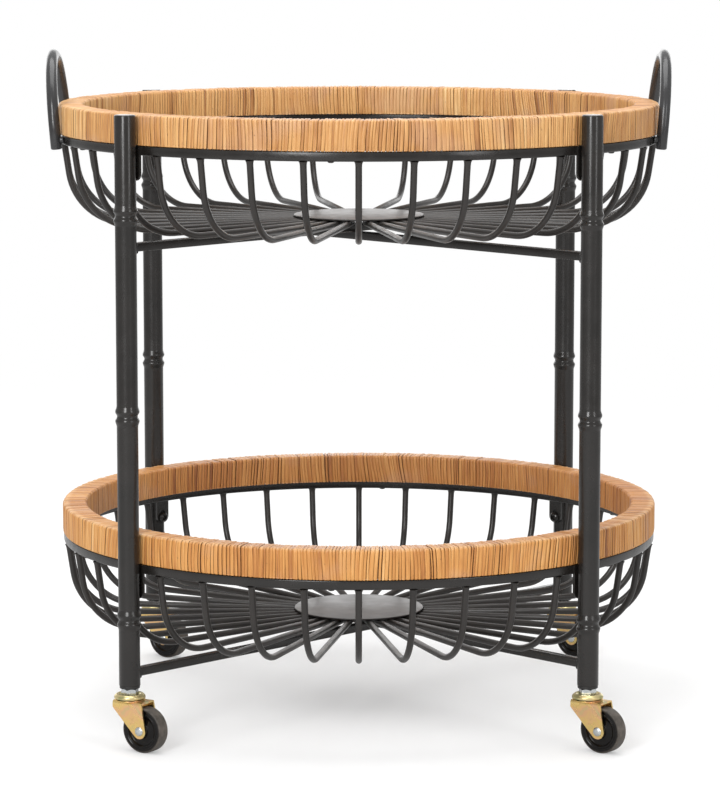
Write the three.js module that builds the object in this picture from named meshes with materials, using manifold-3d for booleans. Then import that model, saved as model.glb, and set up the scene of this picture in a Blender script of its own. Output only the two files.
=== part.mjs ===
// Round two-tier bar cart on swivel casters.
// Millimetres, +Z up. The origin is on the floor under the middle of the cart, and the front faces -Y.
import * as THREE from 'three';
import { mergeVertices } from 'three/addons/utils/BufferGeometryUtils.js';
import Module from 'manifold-3d';

const wasm = await Module();
wasm.setup();

// ---------------------------------------------------------------- driving dimensions

const GAP = 0.3; // between pieces that touch
const WELD_GAP = 0.4; // between a rim and the ring that carries it

// Tiers: the height of each rim's top face.
const TIERS = [
  { name: 'lower', rimTop: 238.9, topBraceAngle: -45 },
  { name: 'upper', rimTop: 695.1, topBraceAngle: 45 },
];

// Rim: a bent wooden hoop inside a rattan wrap, on a flat steel ring.
const ROUND_SIDES = 40; // a multiple of 8, so that hoops have corners at the legs and on both axes
const RIM_OUTER = 341;
const RIM_WIDTH = 28.5;
const RIM_HEIGHT = 34;
const WRAP_THICKNESS = 1.8;
const RING_OUTER = 339.7;
const RING_WIDTH = 9.5;
const RING_HEIGHT = 10.1;
const RING_TOP_DEPTH = RIM_HEIGHT + WELD_GAP; // below the rim's top, like every DEPTH here
const RING_BOTTOM_DEPTH = RING_TOP_DEPTH + RING_HEIGHT;

// Basket wires: straight down from the ring with a small lean, one bend, then flat to the middle.
const WIRE_COUNT = 36;
const WIRE_RADIUS = 3.65;
const WIRE_SIDES = 6;
const WIRE_TOP_RADIUS = 335.7;
const WIRE_TOP_GAP = 0.8; // leaves room for the tilted end face
const WIRE_LEAN = THREE.MathUtils.degToRad(8.5);
const WIRE_BEND = 66.5;
const WIRE_BEND_STEPS = 3;
const WIRE_FLOOR_DEPTH = 134.7;
const WIRE_INNER_END = 34; // neighbours meet and fuse just outside this radius

// Hub plate on the wires, and the two crossed braces under them.
const HUB_RADIUS = 74.3;
const HUB_THICKNESS = 2;
const HUB_BOTTOM_DEPTH = WIRE_FLOOR_DEPTH - WIRE_RADIUS - GAP;
const BRACE_SIZE = 9.5;
const TOP_BRACE_DEPTH = WIRE_FLOOR_DEPTH + WIRE_RADIUS + GAP + BRACE_SIZE / 2;
const BOTTOM_BRACE_DEPTH = TOP_BRACE_DEPTH + BRACE_SIZE + GAP;

// Legs: tubes on a square of centres, with three swaged double rings each.
const LEG_OFFSET = 250.2;
const LEG_CENTRE_RADIUS = LEG_OFFSET * Math.SQRT2;
const LEG_RADIUS = 11.65;
const LEG_WALL = 1.6;
const LEG_SIDES = 12;
const LEG_TOP = 694.6;
const LEG_TOP_CHAMFER = 1.2;
const LEG_BOTTOM = 72.3;
const NODE_HEIGHTS = [142.7, 366.7, 584.1];
const NODE_CREST_RADIUS = 13.2;
const NODE_GROOVE_RADIUS = 11.2;
const NODE_CREST_OFFSET = 4.9;
const NODE_HALF_LENGTH = 11.5;
const CORNERS = [
  { name: 'front_right', angle: -45, nodeShift: -2.2, trail: -36 },
  { name: 'back_right', angle: 45, nodeShift: -0.9, trail: -35 },
  { name: 'back_left', angle: 135, nodeShift: 0.9, trail: -35 },
  { name: 'front_left', angle: 225, nodeShift: 2.2, trail: -32 },
];

// Bracket tabs on the rings, and the screws that fix them to the legs.
const TAB_WIDTH = 18.5;
const TAB_THICKNESS = 3;
const TAB_LENGTH = 27.5; // below the ring
const TAB_ROOT = 4; // how far the tab's top reaches into the ring
const TAB_OUTER = LEG_CENTRE_RADIUS - LEG_RADIUS - GAP;
const TAB_INNER = TAB_OUTER - TAB_THICKNESS;
const SLOT_WIDTH = 6.4;
const SLOT_RISE = 8.5; // the slot's top above the screw
const SCREW_DROP = 20.7; // the screw's centre below the ring
const SCREW_RADIUS = 2.4;
const SCREW_HEAD_RADIUS = 6.2;
const SCREW_HEAD_HEIGHT = 4.6;
const SCREW_REACH = 9; // the shank's end, from the leg's axis
const LEG_HOLE_RADIUS = 3;

// Handles: an inverted U of tube on each side, leaning out.
const HANDLE_RADIUS = 6.35;
const HANDLE_HALF_SPAN = 80.5;
const HANDLE_FOOT_HEIGHT = 645.5;
const HANDLE_FOOT_X = 337.7;
const HANDLE_STRAIGHT = 22;
const HANDLE_LEAN = Math.atan(0.085);
const HANDLE_STEPS = 22;
const HANDLE_SIDES = 8;
const LUG_WIDTH = 7;
const LUG_HEIGHT = 8.5;

// Swivel caster. Its own frame has the swivel axis at the origin and the wheel trailing along +X.
const INSERT_FLANGE_BOTTOM = 69.2;
const INSERT_TOP = 99.5;
const INSERT_FLANGE_RADIUS = 11.2;
const INSERT_LOW_RADIUS = 11;
const INSERT_SHANK_RADIUS = 9.4;
const STEM_RADIUS = 4;
const STEM_CLEARANCE = 0.5;
const STEM_TOP = 96.5;
const STEM_HEAD_RADIUS = 6.5;
const STEM_HEAD_HEIGHT = 1.6;
const NUT_BOTTOM = 61.6;
const NUT_TOP = 68.9;
const NUT_ACROSS_CORNERS = 19.4;
const CUP_RADIUS = 17.2;
const CUP_BOTTOM = 58.2;
const CUP_WALL = 1.4;
const RECESS_RADIUS = 10.8; // of the cup, round the nut
const RECESS_FLOOR = 61.3;
const BULGE_TOP = 63.2; // of the cup, over the race
const BULGE_INNER = 12.6;
const BULGE_OUTER = 14.4;
const RACE_INNER = 12;
const RACE_OUTER = 15.2;
const RACE_BOTTOM = 57.9;
const RACE_TOP = 60.1;
const DISH_RADIUS = 16.8;
const DISH_TOP = 57.6;
const CROWN_BOTTOM = 54.5;
const CROWN_TOP = 56.5;
const CROWN_BACK = -14.4;
const CROWN_FRONT = 24.2;
const FORK_HALF_WIDTH = 12.5;
const FORK_PLATE = 2;
const PLATE_FRONT = 23.2;
const PLATE_BACK_DROP = 6;
const LUG_RADIUS = 8.3;
const WHEEL_RADIUS = 25;
const WHEEL_SIDES = 20;
const TRAIL = 20.5;
const AXLE_RADIUS = 2.8;
const AXLE_HEAD_RADIUS = 5.2;
const AXLE_HEAD_HEIGHT = 1.8;
const SMALL_SIDES = 8;
const CASTER_SIDES = 12;

// ---------------------------------------------------------------- materials

function paint(color, roughness, metalness) {
  return () => new THREE.MeshStandardMaterial({ color, roughness, metalness });
}

const blackPaint = paint(0x2b2a2b, 0.5, 0.3);
const rattan = paint(0xc98f52, 0.7, 0);
const coreWood = paint(0xb08a5a, 0.8, 0);
const yellowZinc = paint(0xd8b868, 0.35, 0.9);
const whiteZinc = paint(0xc9ced2, 0.3, 0.95);
const blackPlastic = paint(0x1c1b1b, 0.6, 0);
const wheelRubber = paint(0x2a2727, 0.7, 0);

// ---------------------------------------------------------------- solids from geometry

// Six times the enclosed volume. Its sign tells which way the faces point.
function facing(positions, triangles) {
  const corner = (i) => new THREE.Vector3().fromArray(positions, 3 * triangles[i]);
  let sum = 0;
  for (let i = 0; i < triangles.length; i += 3) {
    sum += corner(i).dot(corner(i + 1).cross(corner(i + 2)));
  }
  return sum;
}

// A closed geometry as a solid with its faces pointing out.
function solid(geometry) {
  const bare = geometry.clone();
  bare.deleteAttribute('normal');
  bare.deleteAttribute('uv');
  const merged = mergeVertices(bare, 1e-4);
  const positions = new Float32Array(merged.attributes.position.array);
  const triangles = [];
  for (let i = 0; i < merged.index.count; i += 3) {
    const [a, b, c] = [0, 1, 2].map((k) => merged.index.getX(i + k));
    if (a !== b && b !== c && c !== a) triangles.push(a, b, c);
  }
  if (facing(positions, triangles) < 0) triangles.reverse();
  const triVerts = new Uint32Array(triangles);
  return new wasm.Manifold(new wasm.Mesh({ numProp: 3, vertProperties: positions, triVerts }));
}

function geometryOf(body) {
  const { vertProperties, triVerts } = body.getMesh();
  const geometry = new THREE.BufferGeometry();
  geometry.setAttribute('position', new THREE.BufferAttribute(new Float32Array(vertProperties), 3));
  geometry.setIndex(new THREE.BufferAttribute(new Uint32Array(triVerts), 1));
  geometry.computeVertexNormals();
  return geometry;
}

function add(parent, name, body, material) {
  const mesh = new THREE.Mesh(geometryOf(body), material());
  mesh.name = name;
  parent.add(mesh);
  return mesh;
}

function points(pairs) {
  return pairs.map(([x, y]) => new THREE.Vector2(x, y));
}

// A profile of [radius, height] pairs turned about Z.
function turned(profile, sides) {
  const geometry = new THREE.LatheGeometry(points(profile), sides);
  return solid(geometry.rotateX(Math.PI / 2));
}

// The same, for a profile that is a closed loop off the axis.
function turnedRing(profile, sides) {
  return turned([...profile, profile[0]], sides);
}

// A profile of [radius, offset] pairs turned about Y, as wheels and axles are.
function turnedAboutY(profile, sides) {
  return solid(new THREE.LatheGeometry(points(profile), sides));
}

function block(x, y, z, [cx, cy, cz]) {
  return solid(new THREE.BoxGeometry(x, y, z).translate(cx, cy, cz));
}

function polygon(radius, sides) {
  const corners = [];
  for (let i = 0; i < sides; i += 1) {
    const angle = (2 * Math.PI * i) / sides;
    corners.push([radius * Math.cos(angle), radius * Math.sin(angle)]);
  }
  return points(corners);
}

// ---------------------------------------------------------------- tiers

function rimWrap() {
  const inner = RIM_OUTER - RIM_WIDTH;
  const wall = WRAP_THICKNESS;
  const profile = [
    [inner, -RIM_HEIGHT],
    [inner, 0],
    [RIM_OUTER, 0],
    [RIM_OUTER, -RIM_HEIGHT],
    [RIM_OUTER - wall, -RIM_HEIGHT],
    [RIM_OUTER - wall, -wall],
    [inner + wall, -wall],
    [inner + wall, -RIM_HEIGHT],
  ];
  return turnedRing(profile, ROUND_SIDES);
}

function squareHoop(inner, outer, bottom, top) {
  const profile = [
    [inner, bottom],
    [outer, bottom],
    [outer, top],
    [inner, top],
  ];
  return turnedRing(profile, ROUND_SIDES);
}

function rimCore() {
  const shell = WRAP_THICKNESS + GAP;
  return squareHoop(RIM_OUTER - RIM_WIDTH + shell, RIM_OUTER - shell, -RIM_HEIGHT, -shell);
}

// One tab along +X, with its slot cut.
function tab() {
  const rootInner = RING_OUTER - TAB_ROOT;
  const plateCentre = [(TAB_INNER + TAB_OUTER) / 2, 0, -RING_BOTTOM_DEPTH - TAB_LENGTH / 2];
  const plate = block(TAB_THICKNESS, TAB_WIDTH, TAB_LENGTH + 1, plateCentre);
  const rootCentre = [(rootInner + TAB_OUTER) / 2, 0, -(RING_TOP_DEPTH + RING_BOTTOM_DEPTH) / 2];
  const root = block(TAB_OUTER - rootInner, TAB_WIDTH, RING_HEIGHT, rootCentre);
  const screwHeight = -RING_BOTTOM_DEPTH - SCREW_DROP;
  const slotBottom = screwHeight - SLOT_WIDTH / 2;
  const slotTop = screwHeight + SLOT_RISE;
  const slotCentre = [TAB_OUTER, 0, (slotBottom + slotTop) / 2];
  const slot = block(4 * TAB_THICKNESS, SLOT_WIDTH, slotTop - slotBottom, slotCentre);
  return plate.add(root).subtract(slot);
}

function ringWithTabs() {
  let ring = squareHoop(RING_OUTER - RING_WIDTH, RING_OUTER, -RING_BOTTOM_DEPTH, -RING_TOP_DEPTH);
  for (const { angle } of CORNERS) ring = ring.add(tab().rotate([0, 0, angle]));
  return ring;
}

// The path of one wire in the XZ plane, from under the ring to the middle. Equal steps of t fall on
// the ends of the straight parts and share out the bend.
class WirePath extends THREE.Curve {
  getUtoTmapping(u) {
    return u;
  }

  getPoint(t, target = new THREE.Vector3()) {
    const top = -RING_BOTTOM_DEPTH - WIRE_TOP_GAP;
    const bendDrop = WIRE_BEND * (1 - Math.sin(WIRE_LEAN));
    const straightDrop = top + WIRE_FLOOR_DEPTH - bendDrop;
    const bendRadius = WIRE_TOP_RADIUS - straightDrop * Math.tan(WIRE_LEAN);
    const step = t * (WIRE_BEND_STEPS + 2);
    if (step <= 1) {
      return target.set(WIRE_TOP_RADIUS - step * (WIRE_TOP_RADIUS - bendRadius), 0, top - step * straightDrop);
    }
    if (step <= 1 + WIRE_BEND_STEPS) {
      const turn = WIRE_LEAN + ((Math.PI / 2 - WIRE_LEAN) * (step - 1)) / WIRE_BEND_STEPS;
      const x = bendRadius - WIRE_BEND * (Math.cos(WIRE_LEAN) - Math.cos(turn));
      return target.set(x, 0, -WIRE_FLOOR_DEPTH + WIRE_BEND * (1 - Math.sin(turn)));
    }
    const floorStart = bendRadius - WIRE_BEND * Math.cos(WIRE_LEAN);
    const along = step - 1 - WIRE_BEND_STEPS;
    return target.set(floorStart + along * (WIRE_INNER_END - floorStart), 0, -WIRE_FLOOR_DEPTH);
  }
}

function basketWires() {
  const section = new THREE.Shape(polygon(WIRE_RADIUS, WIRE_SIDES));
  const sweep = { extrudePath: new WirePath(), steps: WIRE_BEND_STEPS + 2 };
  const wire = solid(new THREE.ExtrudeGeometry(section, sweep));
  let basket = wire;
  for (let i = 1; i < WIRE_COUNT; i += 1) {
    basket = basket.add(wire.rotate([0, 0, (360 * i) / WIRE_COUNT]));
  }
  return basket;
}

function hubPlate() {
  const profile = [
    [0, 0],
    [HUB_RADIUS, 0],
    [HUB_RADIUS, HUB_THICKNESS],
    [0, HUB_THICKNESS],
  ];
  return turned(profile, ROUND_SIDES);
}

function brace() {
  return block(2 * TAB_OUTER, BRACE_SIZE, BRACE_SIZE, [0, 0, 0]);
}

function tier({ name, rimTop, topBraceAngle }) {
  const group = new THREE.Group();
  group.position.z = rimTop;
  add(group, `${name}_rim_wrap`, rimWrap(), rattan);
  add(group, `${name}_rim_core`, rimCore(), coreWood);
  add(group, `${name}_ring`, ringWithTabs(), blackPaint);
  add(group, `${name}_basket_wires`, basketWires(), blackPaint);
  const hub = add(group, `${name}_hub_plate`, hubPlate(), blackPaint);
  hub.position.z = -HUB_BOTTOM_DEPTH;
  const topBrace = add(group, `${name}_brace_top`, brace(), blackPaint);
  topBrace.position.z = -TOP_BRACE_DEPTH;
  topBrace.rotation.z = THREE.MathUtils.degToRad(topBraceAngle);
  const bottomBrace = add(group, `${name}_brace_bottom`, brace(), blackPaint);
  bottomBrace.position.z = -BOTTOM_BRACE_DEPTH;
  bottomBrace.rotation.z = THREE.MathUtils.degToRad(-topBraceAngle);
  return group;
}

// ---------------------------------------------------------------- handles

// An inverted U in the YZ plane: up one side, over in a half circle, and down the other.
class HandlePath extends THREE.Curve {
  getPoint(t, target = new THREE.Vector3()) {
    const arc = Math.PI * HANDLE_HALF_SPAN;
    const along = t * (2 * HANDLE_STRAIGHT + arc);
    if (along < HANDLE_STRAIGHT) return target.set(0, -HANDLE_HALF_SPAN, along);
    if (along > HANDLE_STRAIGHT + arc) {
      return target.set(0, HANDLE_HALF_SPAN, 2 * HANDLE_STRAIGHT + arc - along);
    }
    const turn = (along - HANDLE_STRAIGHT) / HANDLE_HALF_SPAN;
    const y = -HANDLE_HALF_SPAN * Math.cos(turn);
    return target.set(0, y, HANDLE_STRAIGHT + HANDLE_HALF_SPAN * Math.sin(turn));
  }
}

// The handle with its foot at the origin's height, and a weld lug on each foot that reaches for the ring.
function handle() {
  const section = new THREE.Shape(polygon(HANDLE_RADIUS, HANDLE_SIDES));
  const sweep = { extrudePath: new HandlePath(), steps: HANDLE_STEPS };
  let body = solid(new THREE.ExtrudeGeometry(section, sweep));
  const ringFace = Math.sqrt((RING_OUTER + GAP) ** 2 - (HANDLE_HALF_SPAN - LUG_WIDTH / 2) ** 2);
  const reach = HANDLE_FOOT_X - ringFace;
  const lugHeight = TIERS[1].rimTop - RING_BOTTOM_DEPTH + RING_HEIGHT / 2 - HANDLE_FOOT_HEIGHT;
  for (const side of [-1, 1]) {
    const centre = [-reach / 2, side * HANDLE_HALF_SPAN, lugHeight];
    body = body.add(block(reach, LUG_WIDTH, LUG_HEIGHT, centre));
  }
  return body;
}

function handles() {
  const group = new THREE.Group();
  for (const [name, turn] of [['right', 0], ['left', Math.PI]]) {
    const side = new THREE.Group();
    side.rotation.z = turn;
    const mesh = add(side, `handle_${name}`, handle(), blackPaint);
    mesh.position.set(HANDLE_FOOT_X, 0, HANDLE_FOOT_HEIGHT);
    mesh.rotation.y = HANDLE_LEAN;
    group.add(side);
  }
  return group;
}

// ---------------------------------------------------------------- legs and their screws

// Each corner's own frame has the leg's axis at the origin and +X pointing away from the cart's axis.

function screwHeights() {
  return TIERS.map(({ name, rimTop }) => ({ name, height: rimTop - RING_BOTTOM_DEPTH - SCREW_DROP }));
}

function leg(nodeShift) {
  const outside = [];
  for (const height of NODE_HEIGHTS) {
    const centre = height + nodeShift;
    outside.push([LEG_RADIUS, centre - NODE_HALF_LENGTH]);
    outside.push([NODE_CREST_RADIUS, centre - NODE_CREST_OFFSET]);
    outside.push([NODE_GROOVE_RADIUS, centre]);
    outside.push([NODE_CREST_RADIUS, centre + NODE_CREST_OFFSET]);
    outside.push([LEG_RADIUS, centre + NODE_HALF_LENGTH]);
  }
  const bore = LEG_RADIUS - LEG_WALL;
  const profile = [
    [0, LEG_TOP - LEG_WALL],
    [bore, LEG_TOP - LEG_WALL],
    [bore, LEG_BOTTOM],
    [LEG_RADIUS, LEG_BOTTOM],
    ...outside,
    [LEG_RADIUS, LEG_TOP - LEG_TOP_CHAMFER],
    [LEG_RADIUS - LEG_TOP_CHAMFER, LEG_TOP],
    [0, LEG_TOP],
  ];
  let tube = turned(profile, LEG_SIDES);
  for (const { height } of screwHeights()) {
    const drill = new THREE.CylinderGeometry(LEG_HOLE_RADIUS, LEG_HOLE_RADIUS, LEG_RADIUS, SMALL_SIDES);
    drill.rotateZ(Math.PI / 2).translate(-LEG_RADIUS, 0, height);
    tube = tube.subtract(solid(drill));
  }
  return tube;
}

// A round-head screw along +X, with the head's flat face at the origin.
function legScrew() {
  const shank = TAB_INNER - GAP - LEG_CENTRE_RADIUS + SCREW_REACH;
  const profile = [
    [0, -SCREW_HEAD_HEIGHT],
    [0.45 * SCREW_HEAD_RADIUS, -0.93 * SCREW_HEAD_HEIGHT],
    [0.82 * SCREW_HEAD_RADIUS, -0.65 * SCREW_HEAD_HEIGHT],
    [SCREW_HEAD_RADIUS, -0.2 * SCREW_HEAD_HEIGHT],
    [SCREW_HEAD_RADIUS, 0],
    [SCREW_RADIUS, 0],
    [SCREW_RADIUS, -shank],
    [0, -shank],
  ];
  return solid(new THREE.LatheGeometry(points(profile), SMALL_SIDES).rotateZ(-Math.PI / 2));
}

// ---------------------------------------------------------------- casters

function legInsert() {
  const bore = STEM_RADIUS + STEM_CLEARANCE;
  const flangeTop = LEG_BOTTOM - GAP;
  const profile = [
    [bore, INSERT_FLANGE_BOTTOM],
    [INSERT_LOW_RADIUS, INSERT_FLANGE_BOTTOM],
    [INSERT_FLANGE_RADIUS, flangeTop],
    [INSERT_SHANK_RADIUS, flangeTop],
    [INSERT_SHANK_RADIUS, INSERT_TOP],
    [bore, INSERT_TOP],
  ];
  return turnedRing(profile, CASTER_SIDES);
}

// The stem is riveted under the fork's crown and threaded into the insert.
function casterStem() {
  const headTop = CROWN_BOTTOM - GAP;
  const profile = [
    [0, headTop - STEM_HEAD_HEIGHT],
    [STEM_HEAD_RADIUS, headTop - STEM_HEAD_HEIGHT],
    [STEM_HEAD_RADIUS, headTop],
    [STEM_RADIUS, headTop],
    [STEM_RADIUS, STEM_TOP],
    [0, STEM_TOP],
  ];
  return turned(profile, SMALL_SIDES);
}

function casterNut() {
  const outline = new THREE.Shape(polygon(NUT_ACROSS_CORNERS / 2, 6));
  outline.holes.push(new THREE.Path(polygon(STEM_RADIUS + STEM_CLEARANCE, SMALL_SIDES)));
  const geometry = new THREE.ExtrudeGeometry(outline, { depth: NUT_TOP - NUT_BOTTOM, bevelEnabled: false });
  return solid(geometry.translate(0, 0, NUT_BOTTOM));
}

// The pressed cup: a recess for the nut, a bulge over the race and a turned-down edge.
function casterCup() {
  const bore = STEM_RADIUS + STEM_CLEARANCE;
  const edgeTop = CUP_BOTTOM + 2.9;
  const profile = [
    [bore, RECESS_FLOOR],
    [RECESS_RADIUS, RECESS_FLOOR],
    [BULGE_INNER, BULGE_TOP],
    [BULGE_OUTER, BULGE_TOP],
    [CUP_RADIUS, edgeTop],
    [CUP_RADIUS, CUP_BOTTOM],
    [CUP_RADIUS - CUP_WALL, CUP_BOTTOM],
    [CUP_RADIUS - CUP_WALL, edgeTop - 0.6 * CUP_WALL],
    [BULGE_OUTER - 0.4 * CUP_WALL, BULGE_TOP - CUP_WALL],
    [BULGE_INNER + 0.4 * CUP_WALL, BULGE_TOP - CUP_WALL],
    [RECESS_RADIUS + 0.4 * CUP_WALL, RECESS_FLOOR - CUP_WALL],
    [bore, RECESS_FLOOR - CUP_WALL],
  ];
  return turnedRing(profile, CASTER_SIDES);
}

function casterRace() {
  const profile = [
    [RACE_INNER, RACE_BOTTOM],
    [RACE_OUTER, RACE_BOTTOM],
    [RACE_OUTER, RACE_TOP],
    [RACE_INNER, RACE_TOP],
  ];
  return turnedRing(profile, CASTER_SIDES);
}

// One cheek of the fork: wide under the crown, narrowing to a round lug at the axle.
function forkCheek() {
  const outline = new THREE.Shape();
  outline.moveTo(CROWN_BACK, CROWN_TOP);
  outline.lineTo(CROWN_BACK, CROWN_BOTTOM - PLATE_BACK_DROP);
  outline.absarc(TRAIL, WHEEL_RADIUS, LUG_RADIUS, THREE.MathUtils.degToRad(-140), 0, false);
  outline.lineTo(PLATE_FRONT, CROWN_TOP);
  const options = { depth: FORK_PLATE, bevelEnabled: false, curveSegments: 5 };
  return solid(new THREE.ExtrudeGeometry(outline, options).rotateX(Math.PI / 2));
}

function casterFork() {
  const crownLength = CROWN_FRONT - CROWN_BACK;
  const crownCentre = [(CROWN_FRONT + CROWN_BACK) / 2, 0, (CROWN_TOP + CROWN_BOTTOM) / 2];
  let fork = block(crownLength, 2 * FORK_HALF_WIDTH, CROWN_TOP - CROWN_BOTTOM, crownCentre);
  fork = fork.add(forkCheek().translate([0, FORK_HALF_WIDTH, 0]));
  fork = fork.add(forkCheek().translate([0, FORK_PLATE - FORK_HALF_WIDTH, 0]));
  const dish = [
    [0, CROWN_BOTTOM],
    [DISH_RADIUS - 1, CROWN_BOTTOM],
    [DISH_RADIUS, CROWN_TOP],
    [DISH_RADIUS - 1, DISH_TOP],
    [0, DISH_TOP],
  ];
  fork = fork.add(turned(dish, CASTER_SIDES));
  const boreRadius = STEM_RADIUS + STEM_CLEARANCE;
  const bore = new THREE.CylinderGeometry(boreRadius, boreRadius, WHEEL_RADIUS, SMALL_SIDES);
  fork = fork.subtract(solid(bore.rotateX(Math.PI / 2).translate(0, 0, CROWN_TOP)));
  const axleHole = AXLE_RADIUS + STEM_CLEARANCE;
  const drill = new THREE.CylinderGeometry(axleHole, axleHole, 3 * FORK_HALF_WIDTH, SMALL_SIDES);
  return fork.subtract(solid(drill.translate(TRAIL, 0, WHEEL_RADIUS)));
}

// The axle and the wheel are turned about their own middle, with the axle along Y.
function casterAxle() {
  const seat = FORK_HALF_WIDTH + GAP;
  const half = [
    [0, seat + AXLE_HEAD_HEIGHT],
    [0.8 * AXLE_HEAD_RADIUS, seat + 0.8 * AXLE_HEAD_HEIGHT],
    [AXLE_HEAD_RADIUS, seat],
    [AXLE_RADIUS, seat],
  ];
  const mirrored = half.map(([radius, offset]) => [radius, -offset]).reverse();
  return turnedAboutY([...half, ...mirrored], SMALL_SIDES);
}

function casterWheel() {
  const bore = AXLE_RADIUS + 2 * STEM_CLEARANCE;
  const hubHalf = FORK_HALF_WIDTH - FORK_PLATE - 0.9;
  const half = [
    [bore, hubHalf],
    [0.33 * WHEEL_RADIUS, hubHalf],
    [0.68 * WHEEL_RADIUS, 0.62 * hubHalf],
    [0.78 * WHEEL_RADIUS, 0.9 * hubHalf],
    [0.95 * WHEEL_RADIUS, 0.86 * hubHalf],
    [WHEEL_RADIUS, 0.74 * hubHalf],
  ];
  const mirrored = half.map(([radius, offset]) => [radius, -offset]).reverse();
  return turnedAboutY([...half, ...mirrored, half[0]], WHEEL_SIDES);
}

function caster(name, turn) {
  const group = new THREE.Group();
  group.rotation.z = turn;
  add(group, `caster_race_${name}`, casterRace(), whiteZinc);
  add(group, `caster_fork_${name}`, casterFork(), yellowZinc);
  const axle = add(group, `caster_axle_${name}`, casterAxle(), whiteZinc);
  axle.position.set(TRAIL, 0, WHEEL_RADIUS);
  const wheel = add(group, `caster_wheel_${name}`, casterWheel(), wheelRubber);
  wheel.position.set(TRAIL, 0, WHEEL_RADIUS);
  return group;
}

// ---------------------------------------------------------------- corners

function corner({ name, angle, nodeShift, trail }) {
  const turn = THREE.MathUtils.degToRad(angle);
  const group = new THREE.Group();
  group.position.set(LEG_CENTRE_RADIUS * Math.cos(turn), LEG_CENTRE_RADIUS * Math.sin(turn), 0);
  group.rotation.z = turn;
  add(group, `leg_${name}`, leg(nodeShift), blackPaint);
  add(group, `leg_insert_${name}`, legInsert(), blackPlastic);
  add(group, `caster_stem_${name}`, casterStem(), whiteZinc);
  add(group, `caster_nut_${name}`, casterNut(), whiteZinc);
  add(group, `caster_cup_${name}`, casterCup(), yellowZinc);
  for (const { name: tierName, height } of screwHeights()) {
    const screw = add(group, `leg_screw_${name}_${tierName}`, legScrew(), blackPaint);
    screw.position.set(TAB_INNER - GAP - LEG_CENTRE_RADIUS, 0, height);
  }
  group.add(caster(name, THREE.MathUtils.degToRad(trail - angle)));
  return group;
}

// ---------------------------------------------------------------- the cart

const group = new THREE.Group();
for (const each of TIERS) group.add(tier(each));
group.add(handles());
for (const each of CORNERS) group.add(corner(each));

export default group;
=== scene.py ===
# Bar cart on wheels: the visual model round the CAD frame, and its studio.
# Metres, +Z up, the cart's axis is Z and its front faces -Y.
import math
import random

import bmesh
import bpy
from mathutils import Matrix, Vector


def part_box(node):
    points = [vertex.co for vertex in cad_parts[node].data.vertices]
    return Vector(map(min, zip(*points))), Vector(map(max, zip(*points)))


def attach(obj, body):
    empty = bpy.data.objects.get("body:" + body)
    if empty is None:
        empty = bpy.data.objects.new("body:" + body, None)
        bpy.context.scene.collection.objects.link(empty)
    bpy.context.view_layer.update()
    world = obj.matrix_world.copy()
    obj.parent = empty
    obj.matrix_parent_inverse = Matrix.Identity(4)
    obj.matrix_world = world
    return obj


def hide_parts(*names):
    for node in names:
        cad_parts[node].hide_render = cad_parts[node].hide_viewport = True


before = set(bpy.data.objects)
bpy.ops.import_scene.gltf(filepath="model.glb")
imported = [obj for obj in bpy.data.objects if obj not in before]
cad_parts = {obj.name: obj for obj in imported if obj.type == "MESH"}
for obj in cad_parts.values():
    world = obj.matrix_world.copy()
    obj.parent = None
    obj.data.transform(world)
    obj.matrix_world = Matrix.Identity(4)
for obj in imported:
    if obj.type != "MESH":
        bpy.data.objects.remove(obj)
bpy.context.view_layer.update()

MM = 0.001
TAU = 2 * math.pi
TIERS = ("lower", "upper")
CORNERS = ("front_right", "back_right", "back_left", "front_left")

# ---------------------------------------------------------------- the CAD's own sizes

GAP = 0.3 * MM
RING_WIDTH = 9.5 * MM
RING_HEIGHT = 10.1 * MM
RIM_WIDTH = 28.5 * MM
WRAP_THICKNESS = 1.8 * MM
WIRE_COUNT = 36
WIRE_RADIUS = 3.65 * MM
WIRE_TOP_RADIUS = 335.7 * MM
WIRE_LEAN = math.radians(8.5)
WIRE_BEND = 66.5 * MM
WIRE_INNER_END = 44 * MM
NODE_HEIGHTS = (142.7 * MM, 366.7 * MM, 584.1 * MM)
NODE_SHIFTS = dict(zip(CORNERS, (-2.2 * MM, -0.9 * MM, 0.9 * MM, 2.2 * MM)))
NODE_CREST_RADIUS = 13.2 * MM
NODE_GROOVE_RADIUS = 11.2 * MM
NODE_CREST_OFFSET = 4.9 * MM
NODE_HALF_LENGTH = 11.5 * MM
LEG_RADIUS = 11.65 * MM
LEG_WALL = 1.6 * MM
TAB_WIDTH = 18.5 * MM
TAB_THICKNESS = 3 * MM
TAB_LENGTH = 27.5 * MM
SLOT_WIDTH = 6.4 * MM
SLOT_RISE = 8.5 * MM
SCREW_DROP = 20.7 * MM
LEG_SCREW = {"radius": 6.1 * MM, "height": 4.5 * MM, "shank_radius": 2.4 * MM, "shank": 5 * MM}
RIM_SCREW = {"radius": 3.4 * MM, "height": 1.7 * MM, "shank_radius": 1.4 * MM, "shank": 3 * MM}
RIM_SCREWS = 6
HANDLE_RADIUS = 6.35 * MM
HANDLE_HALF_SPAN = 80.5 * MM
HANDLE_FOOT = Vector((337.7 * MM, 0, 645.5 * MM))
HANDLE_STRAIGHT = 22 * MM
HANDLE_LEAN = math.atan(0.085)
FORK_HALF_WIDTH = 12.5 * MM
FORK_PLATE = 2 * MM
FORK_FRONT = 23.2 * MM
CROWN_FRONT = 24.2 * MM
CROWN_BACK = -14.4 * MM
CROWN_TOP = 56.5 * MM
PLATE_BACK_LOW = 48.5 * MM
LUG_RADIUS = 8.3 * MM
STEM_BORE = 4.5 * MM


# ---------------------------------------------------------------- shapes


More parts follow.
